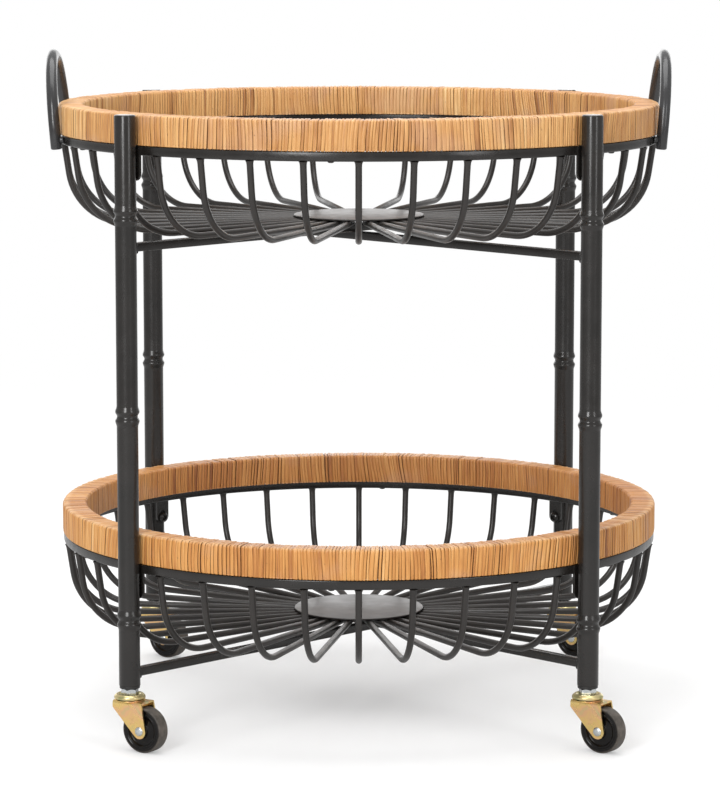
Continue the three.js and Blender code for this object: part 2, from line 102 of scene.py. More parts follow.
def rounded(corners, steps=4):
    """The outline through corners of (x, y, radius), each with a radius turned into an arc."""
    points = []
    for i, (x, y, radius) in enumerate(corners):
        here = Vector((x, y))
        if radius == 0:
            points.append((x, y))
            continue
        back = (Vector(corners[i - 1][:2]) - here).normalized()
        ahead = (Vector(corners[(i + 1) % len(corners)][:2]) - here).normalized()
        half = back.angle(ahead) / 2
        centre = here + (back + ahead).normalized() * radius / math.sin(half)
        start = here + back * radius / math.tan(half) - centre
        end = here + ahead * radius / math.tan(half) - centre
        turn = math.atan2(start.x * end.y - start.y * end.x, start.dot(end))
        for k in range(steps + 1):
            spoke = Matrix.Rotation(turn * k / steps, 2) @ start
            points.append(tuple(centre + spoke))
    return points


def joined(rings, closed=False):
    """Faces between rings of vertex numbers. A ring may be one number repeated."""
    faces = []
    following = rings[1:] + rings[:1] if closed else rings[1:]
    for low, high in zip(rings, following):
        for i in range(len(low)):
            j = (i + 1) % len(low)
            face = list(dict.fromkeys([low[i], low[j], high[j], high[i]]))
            if len(face) > 2:
                faces.append(face)
    return faces


def lathe(profile, sides, closed=False):
    """[radius, height] pairs turned about Z. A radius of 0 is a pole."""
    verts, rings = [], []
    for radius, height in profile:
        first = len(verts)
        if radius < 1e-7:
            rings.append([first] * sides)
            verts.append((0, 0, height))
            continue
        rings.append(list(range(first, first + sides)))
        for i in range(sides):
            angle = TAU * i / sides
            verts.append((radius * math.cos(angle), radius * math.sin(angle), height))
    return verts, joined(rings, closed)


def sweep(path, side, section, sizes=None):
    """A section of (across, side) points along a flat path whose plane has the normal side."""
    verts, rings = [], []
    for i, point in enumerate(path):
        tangent = (path[min(i + 1, len(path) - 1)] - path[max(i - 1, 0)]).normalized()
        across = side.cross(tangent)
        size = sizes[i] if sizes else 1
        rings.append(list(range(len(verts), len(verts) + len(section))))
        for a, b in section:
            verts.append(tuple(point + size * (a * across + b * side)))
    return verts, joined(rings) + [rings[0], rings[-1]]


def circle(radius, sides):
    return [(radius * math.cos(TAU * i / sides), radius * math.sin(TAU * i / sides)) for i in range(sides)]


def plate(outer, inner, low, high):
    """A flat plate in XY between two heights, with a hole of as many points as its outline."""
    count = len(outer)
    loops = [(outer, low), (outer, high), (inner, high), (inner, low)]
    verts = [(x, y, height) for loop, height in loops for x, y in loop]
    rings = [list(range(k * count, (k + 1) * count)) for k in range(len(loops))]
    return verts, joined(rings, closed=True)


def moved(shape, matrix):
    verts, faces = shape
    return [tuple(matrix @ Vector(vert)) for vert in verts], faces


def piece(name, shapes, slot, body, node=None, at=None, crease=35, look=None, strips=None):
    """One object made of closed shapes, riding on a body in place of a CAD node."""
    verts, faces = [], []
    for shape_verts, shape_faces in shapes:
        first = len(verts)
        verts += shape_verts
        faces += [[first + i for i in face] for face in shape_faces]
    mesh = bpy.data.meshes.new(name)
    mesh.from_pydata(verts, [], faces)
    if strips:
        attribute = mesh.attributes.new("strip", "FLOAT_VECTOR", "POINT")
        attribute.data.foreach_set("vector", [number for row in strips for number in row])
    solid = bmesh.new()
    solid.from_mesh(mesh)
    bmesh.ops.recalc_face_normals(solid, faces=solid.faces)
    solid.to_mesh(mesh)
    solid.free()
    mesh.polygons.foreach_set("use_smooth", [True] * len(mesh.polygons))
    mesh.set_sharp_from_angle(angle=math.radians(crease))
    mesh.materials.append(LOOKS[look or slot])
    made = bpy.data.objects.new(name, mesh)
    bpy.context.scene.collection.objects.link(made)
    if at:
        made.matrix_world = at
    bpy.context.view_layer.update()
    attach(made, body)
    if node:
        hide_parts(node)
    return made


def waves(rng, harmonics, size):
    """A smooth random function of an angle, about size high."""
    terms = [(k, rng.uniform(0, TAU), size * rng.uniform(0.4, 1)) for k in harmonics]
    return lambda angle: sum(high * math.sin(k * angle + phase) for k, phase, high in terms)


# ---------------------------------------------------------------- materials


def srgb(red, green, blue):
    """A linear colour from 0-255 sRGB values."""

    def linear(value):
        value /= 255
        return value / 12.92 if value <= 0.04045 else ((value + 0.055) / 1.055) ** 2.4

    return (linear(red), linear(green), linear(blue), 1)


class Finish:
    """A node material round one Principled shader."""

    def __init__(self, name, **constants):
        self.material = bpy.data.materials.new(name)
        self.material.use_nodes = True
        self.tree = self.material.node_tree
        self.shader = self.tree.nodes["Principled BSDF"]
        for label, value in constants.items():
            self.set(label.replace("_", " "), value)

    def set(self, label, value):
        self.feed(self.shader.inputs[label], value)

    def feed(self, socket, value):
        if isinstance(value, bpy.types.NodeSocket):
            self.tree.links.new(value, socket)
        else:
            socket.default_value = value

    def add(self, kind, inputs, **settings):
        node = self.tree.nodes.new(kind)
        for key, value in settings.items():
            setattr(node, key, value)
        for key, value in inputs.items():
            self.feed(node.inputs[key], value)
        return node

    def place(self):
        """Coordinates in the piece's own space, in metres."""
        return self.add("ShaderNodeTexCoord", {}).outputs["Object"]

    def scaled(self, vector, x, y, z):
        return self.add("ShaderNodeMapping", {"Vector": vector, "Scale": (x, y, z)}).outputs["Vector"]

    def noise(self, vector, scale, detail=2, roughness=0.5, distortion=0):
        inputs = {"Vector": vector, "Scale": scale, "Detail": detail}
        inputs |= {"Roughness": roughness, "Distortion": distortion}
        return self.add("ShaderNodeTexNoise", inputs).outputs["Fac"]

    def ramp(self, factor, *stops):
        node = self.add("ShaderNodeValToRGB", {"Fac": factor})
        elements = node.color_ramp.elements
        while len(elements) < len(stops):
            elements.new(0.5)
        for element, (position, colour) in zip(elements, stops):
            element.position = position
            element.color = colour
        return node.outputs["Color"]

    def range(self, value, low, high, to_low=0, to_high=1):
        inputs = {0: value, 1: low, 2: high, 3: to_low, 4: to_high}
        return self.add("ShaderNodeMapRange", inputs, interpolation_type="SMOOTHSTEP").outputs["Result"]

    def math(self, operation, a, b=0):
        return self.add("ShaderNodeMath", {0: a, 1: b}, operation=operation).outputs[0]

    def mix(self, factor, a, b, blend="MIX"):
        inputs = {0: factor, 6: a, 7: b}
        return self.add("ShaderNodeMix", inputs, data_type="RGBA", blend_type=blend).outputs[2]

    def length(self, vector):
        return self.add("ShaderNodeVectorMath", {0: vector}, operation="LENGTH").outputs["Value"]

    def bump(self, height, strength, distance):
        inputs = {"Height": height, "Strength": strength, "Distance": distance}
        self.set("Normal", self.add("ShaderNodeBump", inputs).outputs["Normal"])


def black_paint(name, dark, light, roughness):
    """Satin powder coat: orange peel and a faint cloudiness."""
    finish = Finish(name, IOR=1.5)
    place = finish.place()
    cloud = finish.noise(place, 28, 4, 0.6)
    finish.set("Base Color", finish.ramp(cloud, (0.32, srgb(*dark)), (0.72, srgb(*light))))
    finish.set("Roughness", finish.range(finish.noise(place, 60, 3), 0.3, 0.7, *roughness))
    peel = finish.noise(place, 900, 2)
    finish.bump(peel, 0.05, 0.05 * MM)
    return finish.material


CANE_FADED = srgb(196, 156, 128)
CANE_FLECK = srgb(112, 72, 50)
CANE_BLOT = srgb(120, 86, 72)
# Painted shade: darkens the rim's inner wall, used only on the lower rim, under the upper tier.
CANE_INNER_SHADE = srgb(138, 74, 38)  # the rim's inner wall
# Painted shade: the colour that darkens the rim's top face.
CANE_TOP_SHADE = srgb(164, 112, 68)  # the rim's top
# Painted highlight: the pale crest along the rim's outer top edge.
CANE_TOP_EDGE_HIGHLIGHT = srgb(232, 194, 146)  # the rim's outer top edge
# Painted shade: darkens the two edges of each strip, where strips meet.
CANE_STRIP_EDGE_SHADE = srgb(120, 74, 38)  # the two edges of a strip


def rattan(tier, inside, shadow, low, middle, high, light):
    """Varnished cane strips: strip = (across the strip, along it in metres, the strip's tone)."""
    finish = Finish(f"{tier}_rattan", IOR=1.5)
    strip = finish.add("ShaderNodeAttribute", {}, attribute_name="strip").outputs["Vector"]
    parts = finish.add("ShaderNodeSeparateXYZ", {"Vector": strip})
    across, strip_tone = parts.outputs["X"], parts.outputs["Z"]
    patches = finish.noise(finish.scaled(strip, 0.4, 16, 0), 1, 3, 0.6)
    fibres = finish.noise(finish.scaled(strip, 4.5, 14, 0), 1, 4, 0.7)
    shade = finish.math("ADD", strip_tone, finish.range(patches, 0.25, 0.75, -0.16, 0.16))
    shade = finish.math("ADD", shade, finish.range(fibres, 0.3, 0.7, -0.2, 0.2))
    tones = (shadow, low, middle, high, light)
    colour = finish.ramp(shade, *[(k / 4, srgb(*tone)) for k, tone in enumerate(tones)])
    faded = finish.range(finish.noise(finish.place(), 17, 2), 0.5, 0.68, 0, 0.3)
    colour = finish.mix(faded, colour, CANE_FADED)
    flecks = finish.noise(finish.scaled(strip, 1.6, 190, 0), 1, 2, 0.5)
    colour = finish.mix(finish.range(flecks, 0.69, 0.77, 0, 0.7), colour, CANE_FLECK)
    blots = finish.noise(finish.scaled(strip, 0.9, 55, 0), 1, 4, 0.7)
    colour = finish.mix(finish.range(blots, 0.66, 0.74, 0, 0.5), colour, CANE_BLOT)
    place = finish.place()
    _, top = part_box(f"{tier}_rim_wrap")
    parts = finish.add("ShaderNodeSeparateXYZ", {"Vector": place})
    flat = finish.add("ShaderNodeVectorMath", {0: place, 1: (1, 1, 0)}, operation="MULTIPLY")
    radius = finish.length(flat.outputs["Vector"])
    # Painted shade on the rim's inner wall: inside sets how much, and only the lower rim has any.
    inner = finish.range(radius, top.x - RIM_WIDTH + 4 * MM, top.x - RIM_WIDTH, 0, inside)
    colour = finish.mix(inner, colour, CANE_INNER_SHADE)
    # The rim's top band: painted shade over the whole top face, then narrowed to the outer top edge for a
    # painted highlight in scallops.
    top_shade_and_highlight = finish.range(parts.outputs["Z"], top.z - 3.2 * MM, top.z - 1.2 * MM)
    # Painted shade: the rim's top face is darkened a little.
    colour = finish.mix(finish.math("MULTIPLY", top_shade_and_highlight, 0.3), colour, CANE_TOP_SHADE)
    top_shade_and_highlight = finish.math("MULTIPLY", top_shade_and_highlight, finish.range(radius, top.x - 10 * MM, top.x - 4 * MM))
    top_shade_and_highlight = finish.math("MULTIPLY", top_shade_and_highlight, finish.range(patches, 0.3, 0.6, 0.05, 0.4))
    # Painted highlight: a pale crest in scallops on the outer top edge.
    colour = finish.mix(top_shade_and_highlight, colour, CANE_TOP_EDGE_HIGHLIGHT)
    # Painted shade at the two edges of each strip, standing for the shade in the gaps between strips.
    edge = finish.math("ABSOLUTE", finish.math("SUBTRACT", across, 0.5))
    colour = finish.mix(finish.range(edge, 0.42, 0.5, 0, 0.4), colour, CANE_STRIP_EDGE_SHADE)
    finish.set("Base Color", colour)
    finish.set("Roughness", finish.range(fibres, 0.3, 0.7, 0.3, 0.5))
    lumps = finish.noise(finish.scaled(strip, 0.6, 150, 0), 1, 3, 0.6)
    relief = finish.math("ADD", finish.math("MULTIPLY", fibres, 0.5), lumps)
    finish.bump(relief, 0.6, 0.5 * MM)
    return finish.material


def core_wood():
    """Stained bent wood, seen only through the gaps of the wrap, coloured darker than its stain as painted
    shade in those gaps.
    """
    finish = Finish("core_wood")
    place = finish.place()
    grain = finish.noise(finish.scaled(place, 30, 30, 400), 1, 4, 0.6, 0.4)
    # Partly the wood's stain, partly painted shade for the gaps of the wrap.
    finish.set("Base Color", finish.ramp(grain, (0.3, srgb(104, 64, 34)), (0.7, srgb(148, 98, 56))))
    finish.set("Roughness", finish.range(grain, 0.3, 0.7, 0.6, 0.85))
    finish.bump(grain, 0.3, 0.3 * MM)
    return finish.material


def yellow_zinc(name, gold, yellow, pink, olive):
    """Yellow passivated steel, drifting between four shades."""
    finish = Finish(name, Metallic=1.0)
    place = finish.place()
    drift = finish.noise(place, 48, 2, 0.5, 0.8)
    shades = zip((0.34, 0.45, 0.56, 0.68), (gold, yellow, pink, olive))
    colour = finish.ramp(drift, *[(position, srgb(*shade)) for position, shade in shades])
    stains = finish.noise(place, 210, 3, 0.6)
    colour = finish.mix(finish.range(stains, 0.6, 0.78, 0, 0.3), colour, srgb(140, 108, 66))
    finish.set("Base Color", colour)
    finish.set("Roughness", finish.range(finish.noise(place, 90, 3), 0.3, 0.7, 0.24, 0.36))
    finish.bump(finish.noise(place, 900, 2), 0.05, 0.05 * MM)
    return finish.material


def white_zinc():
    """Bright zinc plating on turned and pressed steel."""
    finish = Finish("white_zinc", Metallic=1.0)
    place = finish.place()
    drift = finish.noise(place, 160, 3, 0.55)
    finish.set("Base Color", finish.ramp(drift, (0.3, srgb(186, 190, 191)), (0.7, srgb(224, 228, 229))))
    finish.set("Roughness", finish.range(drift, 0.3, 0.7, 0.18, 0.32))
    finish.bump(finish.noise(place, 1500, 2), 0.1, 0.05 * MM)
    return finish.material


def black_plastic():
    """Moulded polypropylene with a fine grain."""
    finish = Finish("black_plastic")
    place = finish.place()
    grain = finish.noise(place, 700, 3)
    finish.set("Base Color", finish.ramp(grain, (0.3, srgb(24, 23, 23)), (0.7, srgb(36, 35, 35))))
    finish.set("Roughness", finish.range(grain, 0.3, 0.7, 0.42, 0.6))
    finish.bump(grain, 0.2, 0.08 * MM)
    return finish.material


def wheel_black():
    """Moulded tyre and centre in one black, with a paler band on the tread that is partly dust and partly a
    painted highlight.
    """
    finish = Finish("wheel_black", Specular_IOR_Level=0.25)
    place = finish.place()
    axes = finish.add("ShaderNodeSeparateXYZ", {"Vector": place})
    flat = finish.add("ShaderNodeCombineXYZ", {"X": axes.outputs["X"], "Z": axes.outputs["Z"]})
    radius = finish.length(flat.outputs[0])
    dust = finish.noise(place, 130, 5, 0.7)
    # Partly dust, partly painted highlight: the tread pales towards its edge.
    tread = finish.range(radius, 22 * MM, 25 * MM)
    dust_and_highlight = finish.math("MULTIPLY", tread, finish.range(dust, 0.3, 0.7, 0.35, 1))
    finish.set("Base Color", finish.mix(dust_and_highlight, srgb(16, 14, 13), srgb(104, 97, 90)))
    finish.set("Roughness", finish.range(dust_and_highlight, 0, 1, 0.18, 0.6))
    finish.bump(finish.noise(place, 600, 3), 0.2, 0.1 * MM)
    return finish.material


# Colours are sRGB, 0-255. Rattan runs from the darkest tone of a strip to the palest.
UPPER_RATTAN = ((132, 82, 40), (178, 122, 68), (204, 150, 90), (218, 169, 108), (234, 196, 140))
LOWER_RATTAN = ((126, 74, 32), (172, 110, 52), (198, 136, 70), (214, 156, 88), (232, 184, 122))
FORK_ZINC = ((222, 200, 138), (236, 202, 128), (236, 188, 142), (206, 196, 142))
CUP_ZINC = ((188, 182, 132), (210, 196, 142), (220, 202, 150), (180, 176, 126))
PAINT_SHEEN = (0.18, 0.29)  # the least and most roughness
HUB_SHEEN = (0.3, 0.35)
WIRE_SHEEN = (0.29, 0.37)

LOOKS = {
    "black_paint": black_paint("satin_black_paint", (26, 24, 22), (36, 33, 31), PAINT_SHEEN),
    "hub_paint": black_paint("satin_black_hub", (29, 25, 23), (37, 32, 29), HUB_SHEEN),
    # Painted sheen: a lighter, warmer copy of the black paint for the wires.
    "wire_paint_painted_sheen": black_paint("satin_black_wire_painted_sheen", (33, 30, 28), (43, 39, 36), WIRE_SHEEN),
    # Painted light: a lighter grey copy of the black paint for the handles.
    "handle_paint_painted_light": black_paint("satin_black_handle_painted_light", (45, 45, 46), (57, 57, 58), PAINT_SHEEN),
    # The number after the tier is painted shade on the rim's inner wall: none on the upper rim, some on the
    # lower rim under the upper tier.
    "upper_rattan": rattan("upper", 0.0, *UPPER_RATTAN),
    "lower_rattan": rattan("lower", 0.3, *LOWER_RATTAN),
    "core_wood": core_wood(),
    "yellow_zinc": yellow_zinc("yellow_zinc", *FORK_ZINC),
    "cup_zinc": yellow_zinc("yellow_zinc_cup", *CUP_ZINC),
    "white_zinc": white_zinc(),
    "black_plastic": black_plastic(),
    "wheel_black": wheel_black(),
}

# ---------------------------------------------------------------- rattan rims

STRIP_TURNS = 512
STRIP_DOME = 0.7 * MM
STRIP_ACROSS = (0, 0.14, 0.5, 0.86, 1)
STRIP_DEPTHS = (1, 0.25, 0, 0.25, 1)
SETTLE = 0.5 * MM  # how far every strip leans one way
RIM_TOP_CORNER = 3.8 * MM
RIM_BOTTOM_CORNER = 2 * MM


def rim_section(inner, outer, low, high):
    """Points of a rim's section, each with its outward direction and its distance along the way round."""
    top, base = RIM_TOP_CORNER, RIM_BOTTOM_CORNER
    corners = [
        (outer - base, low + base, base, -90),
        (outer - top, high - top, top, 0),
        (inner + top, high - top, top, 90),
        (inner + base, low + base, base, 180),
    ]
    places = []
    for x, z, r, start in corners:
        for k in range(5):
            turn = math.radians(start + 22.5 * k)
            out = Vector((math.cos(turn), math.sin(turn)))
            places.append((Vector((x, z)) + r * out, out))
    section = []
    for i, (here, out) in enumerate(places):
        section.append((here, out))
        if i % 5 == 4:
            there = places[(i + 1) % len(places)][0]
            section += [(here.lerp(there, k / 3), out) for k in (1, 2)]
    lengths = [0.0]
    for (here, _), (there, _) in zip(section, section[1:] + section[:1]):
        lengths.append(lengths[-1] + (there - here).length)
    return [(*section[i], lengths[i]) for i in range(len(section))], lengths[-1]


def wrap(tier, seed):
    """One rim's wrap: several hundred turns of domed cane, each a closed ring round the section."""
    rng = random.Random(seed)
    low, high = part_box(f"{tier}_rim_wrap")
    outer = high.x
    section, length = rim_section(outer - RIM_WIDTH, outer, low.z, high.z)
    widths = [min(1.5, max(0.6, rng.gauss(1, 0.24))) for _ in range(STRIP_TURNS)]
    unit = TAU / sum(widths)
    lean = waves(rng, (2, 3, 5, 8, 13, 21), 1.2 * MM / outer)
    skew = waves(rng, (3, 7, 11, 17), 1.0 * MM / outer)
    sink = waves(rng, (2, 3, 5, 9, 14), 0.11 * MM)
    drift = waves(rng, (1, 3, 6, 11, 23), 0.07)
    verts, faces, strips = [], [], []
    left = 0.0
    for turn, width in enumerate(widths):
        right = left + width * unit
        middle = (left + right) / 2
        slack = rng.uniform(0.01, 0.06) if rng.random() > 0.1 else rng.uniform(0.1, 0.26)
        if rng.random() < 0.02:
            slack = rng.uniform(0.35, 0.5)
        slant = rng.gauss(0, 0.16 * MM) / outer
        inset = slack * (right - left) / 2
        tone = 0.52 + drift(middle) + rng.gauss(0, 0.06)
        if rng.random() < 0.05:
            tone -= rng.uniform(0.12, 0.34)
        lower = 0.55 * MM + sink(middle) + rng.uniform(-0.34, 0.34) * MM
        count = len(STRIP_ACROSS)
        first = len(verts)
        for at, out, along in section:
            phase = TAU * along / length
            tilt = lean(middle) + slant - SETTLE / outer
            shear = tilt * math.cos(phase) + skew(middle) * math.sin(phase)
            for across, depth in zip(STRIP_ACROSS, STRIP_DEPTHS):
                angle = left + inset + across * (right - left - 2 * inset) + shear
                under = (0 if out.y < -0.5 else max(0, lower)) + depth * STRIP_DOME * (0.8 + 0.2 * width)
                radius, height = at - under * out
                verts.append((radius * math.cos(angle), radius * math.sin(angle), height))
                strips.append((across, turn * length + along, tone))
        rings = [list(range(first + i * count, first + (i + 1) * count)) for i in range(len(section))]
        faces += joined(rings, closed=True)
        left = right
    looks = {"crease": 60, "look": f"{tier}_rattan", "strips": strips}
    piece(f"{tier}_rattan_wrap", [(verts, faces)], "rattan", "frame", f"{tier}_rim_wrap", **looks)


def core(tier):
    low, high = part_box(f"{tier}_rim_core")
    outer = high.x - 0.6 * MM
    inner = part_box(f"{tier}_rim_wrap")[1].x - RIM_WIDTH + WRAP_THICKNESS + GAP + 0.6 * MM
    lift, r = 0.8 * MM, 1.5 * MM
    corners = [(inner, low.z + lift, r), (outer, low.z + lift, r), (outer, high.z, r), (inner, high.z, r)]
    shape = lathe(rounded(corners), 128, closed=True)
    piece(f"{tier}_core", [shape], "core_wood", "frame", f"{tier}_rim_core")


# ---------------------------------------------------------------- rings, baskets, hubs and braces


def corner_frame(corner):
    """The leg's axis, with +X pointing away from the cart's axis."""
    low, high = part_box(f"leg_{corner}")
    centre = (low + high) / 2
    centre.z = 0
    return Matrix.Translation(centre) @ Matrix.Rotation(math.atan2(centre.y, centre.x), 4, "Z")


def ring_levels(tier):
    """The ring's bottom and top: it lies just under the rim."""
    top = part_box(f"{tier}_ring")[1].z
    return top - RING_HEIGHT, top


def tab(tier, corner):
    """The slotted tab that a leg's screw holds, welded over the ring's outer face."""
    bottom, top = ring_levels(tier)
    half = TAB_WIDTH / 2
    low = bottom - TAB_LENGTH
    screw = bottom - SCREW_DROP
    slot_low, slot_high = screw - SLOT_WIDTH / 2, screw + SLOT_RISE
    slot_half = SLOT_WIDTH / 2
    edge = 1.2 * MM
    outer = [(-half, low, 8 * MM), (half, low, 8 * MM), (half, top, edge), (-half, top, edge)]
    hole_round = 0.98 * slot_half
    inner = [(x, z, hole_round) for x, z in ((-slot_half, slot_low), (slot_half, slot_low))]
    inner += [(slot_half, slot_high, hole_round), (-slot_half, slot_high, hole_round)]
    flat = plate(rounded(outer, 6), rounded(inner, 6), 0, TAB_THICKNESS)
    upright = Matrix(((0, 0, 1, 0), (1, 0, 0, 0), (0, 1, 0, 0), (0, 0, 0, 1)))
    reach = LEG_RADIUS + GAP + TAB_THICKNESS
    return moved(flat, corner_frame(corner) @ Matrix.Translation((-reach, 0, 0)) @ upright)


def ring_outer(tier):
    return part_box(f"{tier}_rim_wrap")[1].x - 1.3 * MM


def ring(tier):
    bottom, top = ring_levels(tier)
    outer = ring_outer(tier)
    inner = outer - RING_WIDTH
    r = 1.9 * MM
    corners = [(inner, bottom, r), (outer, bottom, r), (outer, top, r / 2), (inner, top, r / 2)]
    shapes = [lathe(rounded(corners), 160, closed=True)]
    shapes += [tab(tier, corner) for corner in CORNERS]
    piece(f"{tier}_ring_bar", shapes, "black_paint", "frame", f"{tier}_ring")


def wire_path(top, floor):
    """One wire in the XZ plane: a flared weld, a leaning straight, the bend, and the floor."""
    bend_drop = WIRE_BEND * (1 - math.sin(WIRE_LEAN))
    drop = top - floor - bend_drop
    bend_start = WIRE_TOP_RADIUS - drop * math.tan(WIRE_LEAN)
    path, sizes = [], []
    for depth, size in ((0, 1.34), (0.8, 1.2), (1.8, 1.1), (3.4, 1.03), (6, 1)):
        path.append(Vector((WIRE_TOP_RADIUS - depth * MM * math.tan(WIRE_LEAN), 0, top - depth * MM)))
        sizes.append(size)
    bend_steps = 16
    for k in range(bend_steps + 1):
        turn = WIRE_LEAN + (math.pi / 2 - WIRE_LEAN) * k / bend_steps
        x = bend_start - WIRE_BEND * (math.cos(WIRE_LEAN) - math.cos(turn))
        path.append(Vector((x, 0, floor + WIRE_BEND * (1 - math.sin(turn)))))
        sizes.append(1)
    path += [Vector((WIRE_INNER_END + 1 * MM, 0, floor)), Vector((WIRE_INNER_END, 0, floor))]
    sizes += [1, 0.8]
    return path, sizes


def basket(tier):
    bottom, _ = ring_levels(tier)
    low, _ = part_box(f"{tier}_hub_plate")
    path, sizes = wire_path(bottom, low.z - GAP - WIRE_RADIUS)
    wire = sweep(path, Vector((0, 1, 0)), circle(WIRE_RADIUS, 14), sizes)
    turns = [Matrix.Rotation(TAU * i / WIRE_COUNT, 4, "Z") for i in range(WIRE_COUNT)]
    shapes = [moved(wire, turn) for turn in turns]
    # The wires take the lighter, warmer copy of the black paint: painted sheen.
    looks = {"crease": 50, "look": "wire_paint_painted_sheen"}
    piece(f"{tier}_wires", shapes, "black_paint", "frame", f"{tier}_basket_wires", **looks)


def hub(tier):
    low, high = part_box(f"{tier}_hub_plate")
    r = 0.7 * MM
    corners = [(0, low.z, 0), (high.x, low.z, r), (high.x, high.z, r), (0, high.z, 0)]
    shape = lathe(rounded(corners), 96)
    piece(f"{tier}_hub", [shape], "black_paint", "frame", f"{tier}_hub_plate", look="hub_paint")


SIDE_BEAD = 1.7 * MM
SIDE_BEAD_SWELL = (0.55, 0.95, 0.85, 1.0, 0.88, 0.96, 0.55)
UNDER_BEAD = 3.1 * MM
UNDER_BEAD_SWELL = (0.7, 0.95, 1, 0.93, 1, 0.95, 0.7)


def brace(tier, which):
    """A square bar from leg to leg, with a weld bead up each side of its ends."""
    name = f"{tier}_brace_{which}"
    low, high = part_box(name)
    size = high.z - low.z
    half = size / 2
    r = 1.1 * MM
    height = (low.z + high.z) / 2
    angle = brace_angle(tier, which)
    leg = corner_frame("front_right").translation
    reach = leg.length - LEG_RADIUS + 0.6 * MM
    corners = [(-half, -half, r), (half, -half, r), (half, half, r), (-half, half, r)]
    path = [Vector((-reach, 0, height)), Vector((reach, 0, height))]
    shapes = [sweep(path, Vector((0, 1, 0)), rounded(corners, 3))]
    for end in (-1, 1):
        for side in (-1, 1):
            x = end * (reach - 0.7 * MM)
            foot = Vector((x, side * half, height - half + 0.6 * MM))
            head = Vector((x, side * half, height + half - 0.6 * MM))
            bead = [foot.lerp(head, k / 6) for k in range(7)]
            shapes.append(sweep(bead, Vector((0, 1, 0)), circle(SIDE_BEAD, 10), SIDE_BEAD_SWELL))
        x = end * (reach - 0.9 * MM)
        bead = [Vector((x, half * (k - 3) / 3.4, height - half)) for k in range(7)]
        shapes.append(sweep(bead, Vector((0, 0, 1)), circle(UNDER_BEAD, 12), UNDER_BEAD_SWELL))
    turn = Matrix.Rotation(angle, 4, "Z")
    piece(f"{tier}_{which}_brace", [moved(shape, turn) for shape in shapes], "black_paint", "frame", name)


def brace_angle(tier, which):
    """The two braces of a tier run along the two diagonals, and the upper tier's are the other way up."""
    rising = (tier == "upper") == (which == "top")
    return math.radians(45 if rising else -45)


# ---------------------------------------------------------------- handles


def handle(side, turn):
    """An inverted U of tube, leaning out, with its two feet welded to the upper ring."""
    path, sizes = [], []
    foot_drop = 1.6 * MM
    for lift, size in ((0, 0.72), (0.25, 0.87), (0.7, 0.96), (1, 1)):
        path.append(Vector((0, -HANDLE_HALF_SPAN, lift * foot_drop)))
        sizes.append(size)
    arc_steps = 44
    for k in range(arc_steps + 1):
        around = math.pi * k / arc_steps
        y = -HANDLE_HALF_SPAN * math.cos(around)
        path.append(Vector((0, y, HANDLE_STRAIGHT + HANDLE_HALF_SPAN * math.sin(around))))
        sizes.append(1)
    for lift, size in ((1, 1), (0.7, 0.96), (0.25, 0.87), (0, 0.72)):
        path.append(Vector((0, HANDLE_HALF_SPAN, lift * foot_drop)))
        sizes.append(size)
    shapes = [sweep(path, Vector((1, 0, 0)), circle(HANDLE_RADIUS, 24), sizes)]
    bottom, top = ring_levels("upper")
    level = (bottom + top) / 2 - HANDLE_FOOT.z
    for end in (-1, 1):
        outer = ring_outer("upper")
        ring_x = math.sqrt(outer**2 - HANDLE_HALF_SPAN**2) - HANDLE_FOOT.x
        at_ring = Vector((ring_x - 1 * MM, end * (HANDLE_HALF_SPAN + 0.4 * MM), level))
        at_tube = Vector((-3 * MM, end * HANDLE_HALF_SPAN, level))
        weld = [at_ring, (at_ring + at_tube) / 2, at_tube]
        shapes.append(sweep(weld, Vector((0, 1, 0)), circle(4.3 * MM, 14), [1.05, 0.86, 1.1]))
    leaning = Matrix.Translation(HANDLE_FOOT) @ Matrix.Rotation(HANDLE_LEAN, 4, "Y")
    at = Matrix.Rotation(turn, 4, "Z") @ leaning
    shapes = [moved(shape, at) for shape in shapes]
    # The handles take the lighter copy of the black paint: painted light.
    looks = {"crease": 50, "look": "handle_paint_painted_light"}
    piece(f"{side}_handle_tube", shapes, "black_paint", "frame", f"handle_{side}", **looks)


# ---------------------------------------------------------------- legs and screws


def leg(corner):
    low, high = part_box(f"leg_{corner}")
    top, bottom = high.z, low.z
    bore = LEG_RADIUS - LEG_WALL
    profile = [(0, top - LEG_WALL), (bore, top - LEG_WALL), (bore, bottom + 2 * MM)]
    end_round = 0.35 * MM
    for k in range(7):
        turn = math.radians(90 * k / 6)
        x = LEG_RADIUS - end_round * (1 - math.sin(turn))
        profile.append((x, bottom + end_round * (1 - math.cos(turn))))
    for height in NODE_HEIGHTS:
        profile += node_profile(height + NODE_SHIFTS[corner])
    cap_round = 2 * MM
    for k in range(6):
        turn = math.radians(90 * k / 5)
        x = LEG_RADIUS - cap_round * (1 - math.cos(turn))
        profile.append((x, top - cap_round * (1 - math.sin(turn))))
    profile.append((0, top))
    fitting = {"at": corner_frame(corner), "crease": 40}
    piece(f"{corner}_leg_tube", [lathe(profile, 48)], "black_paint", "frame", f"leg_{corner}", **fitting)


def node_profile(centre):
    """One swaged double ring: two smooth crests with a groove between them."""
    stations = [
        (-NODE_HALF_LENGTH, LEG_RADIUS),
        (-NODE_CREST_OFFSET, NODE_CREST_RADIUS),
        (0, NODE_GROOVE_RADIUS),
        (NODE_CREST_OFFSET, NODE_CREST_RADIUS),
        (NODE_HALF_LENGTH, LEG_RADIUS),
    ]
    points = []
    steps = 7
    for (z_low, r_low), (z_high, r_high) in zip(stations, stations[1:]):
        for k in range(steps):
            share = (1 - math.cos(math.pi * k / steps)) / 2
            points.append((r_low + share * (r_high - r_low), centre + z_low + (z_high - z_low) * k / steps))
    points.append((LEG_RADIUS, centre + NODE_HALF_LENGTH))
    return points


